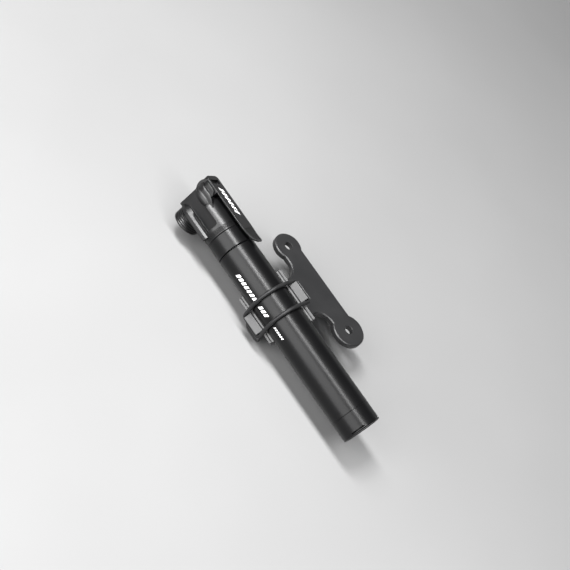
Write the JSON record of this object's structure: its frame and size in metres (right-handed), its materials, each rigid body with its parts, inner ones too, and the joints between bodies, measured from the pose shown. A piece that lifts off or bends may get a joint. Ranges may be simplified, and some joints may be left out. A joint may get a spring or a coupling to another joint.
{
  "type": "mini pump",
  "caption": "Slim telescoping hand pump with a thumb-lever valve head, clipped by a rubber ring strap in a cradle that bolts beside a bottle cage.",
  "frame": {"origin": "middle of the bracket's two bolt holes, on the bracket's underside", "axes": "+Z out of the bicycle frame tube, along the bolts; +X along the pump from its head to its end cap; the pump lies on the -Y side"},
  "size_m": [0.1726, 0.0657, 0.0405],
  "materials": {
    "anodised_alloy": "bead-blasted black anodised",
    "bare_alloy": "drawn, satin",
    "head_plastic": "satin moulded",
    "bracket_plastic": "fine moulded grain",
    "soft_rubber": "matt moulded",
    "seal_rubber": "greased",
    "steel": "turned",
    "bearing_plastic": "acetal"
  },
  "bodies": {
    "bracket": {"mount_bracket": "bracket_plastic", "cradle_liner": "soft_rubber", "strap": "soft_rubber"},
    "handle": {"handle_tube": "anodised_alloy", "handle_guide": "bearing_plastic", "wiper_ring": "seal_rubber", "end_cap": "anodised_alloy", "end_cap_seal": "seal_rubber", "piston_rod": "steel", "piston_screw": "steel", "rod_lock_nut": "steel"},
    "piston": {"piston": "bearing_plastic", "piston_seal": "seal_rubber"},
    "barrel": {"barrel_tube": "bare_alloy", "barrel_bush": "bearing_plastic", "barrel_bush_seal": "seal_rubber", "rod_seal": "seal_rubber", "barrel_collar": "anodised_alloy", "locking_ring": "head_plastic", "head_body": "head_plastic", "lever_pin": "steel", "barrel_seal": "seal_rubber", "valve_seat": "bearing_plastic", "check_spring": "steel", "valve_grommet": "soft_rubber", "grommet_washer": "bearing_plastic"},
    "lever": {"thumb_lever": "head_plastic", "lever_pad": "soft_rubber"},
    "plunger": {"plunger": "bearing_plastic", "plunger_seal": "seal_rubber", "pressure_plate": "steel"},
    "collar": {"valve_collar": "head_plastic"},
    "check_ball": {"check_ball": "steel"}
  },
  "joints": [
    {"name": "pump_lift", "type": "slide", "parent": "bracket", "child": "handle", "axis": [0, -0.7071, 0.7071], "range_m": [0, 0.045], "deforming": ["strap"]},
    {"name": "head_twist", "type": "hinge", "parent": "handle", "child": "piston", "pos_m": [-0.0515, -0.04, 0.004], "axis": [1, 0, 0], "continuous": true},
    {"name": "pump_stroke", "type": "slide", "parent": "piston", "child": "barrel", "axis": [-1, 0, 0], "range_m": [0, 0.085]},
    {"name": "lever_turn", "type": "hinge", "parent": "barrel", "child": "lever", "pos_m": [-0.0787, -0.03693, 0.0116], "axis": [0, -0.9272, 0.3746], "range_deg": [0, 90]},
    {"name": "plunger_press", "type": "slide", "parent": "barrel", "child": "plunger", "axis": [0, -0.3746, -0.9272], "range_m": [0, 0.00241], "deforming": ["valve_grommet"]},
    {"name": "collar_turn", "type": "hinge", "parent": "barrel", "child": "collar", "pos_m": [-0.0748, -0.04472, -0.00768], "axis": [0, -0.3746, -0.9272], "continuous": true},
    {"name": "check_lift", "type": "slide", "parent": "barrel", "child": "check_ball", "axis": [-1, 0, 0], "range_m": [0, 0.0008], "stiffness_N_per_m": 60, "springref_m": -0.001, "deforming": ["check_spring"]}
  ],
  "couplings": [
    {"joint": "plunger_press", "follows": "lever_turn", "m_per_rad": 0.0015279}
  ]
}
